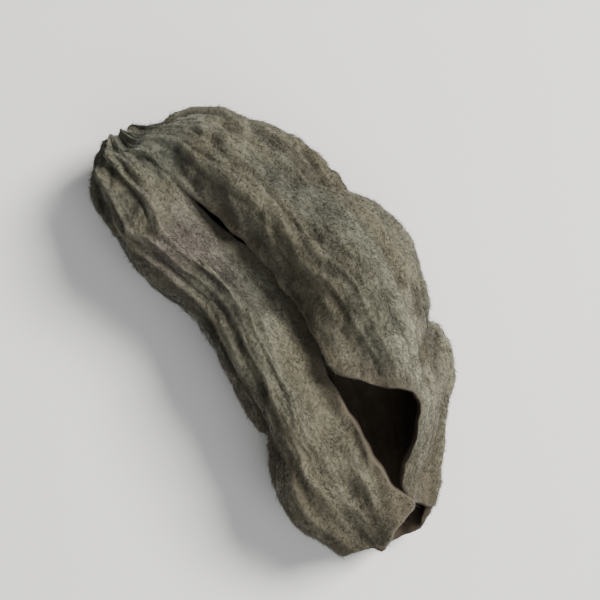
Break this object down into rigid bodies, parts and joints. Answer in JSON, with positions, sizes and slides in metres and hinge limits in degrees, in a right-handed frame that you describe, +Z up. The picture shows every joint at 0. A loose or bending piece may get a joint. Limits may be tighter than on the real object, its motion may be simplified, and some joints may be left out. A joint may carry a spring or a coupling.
{
  "type": "dried wood ear mushroom",
  "caption": "Small dried wood ear mushroom: a thin leathery ear curled over itself like a slipper, with a velvety taupe back, a long slit on top and a dark hollow at the mouth.",
  "frame": {"origin": "bottom centre of the bounding box, on the surface that the ear rests on", "axes": "+X from the knob to the far tip, +Y to the domed side, +Z up, with the slit on top"},
  "size_m": [0.0174, 0.009, 0.0049],
  "materials": {
    "ear": "matt taupe velvet on the back, near-black smooth face inside the curl"
  },
  "bodies": {
    "root": {"wood_ear": "ear"}
  },
  "joints": []
}
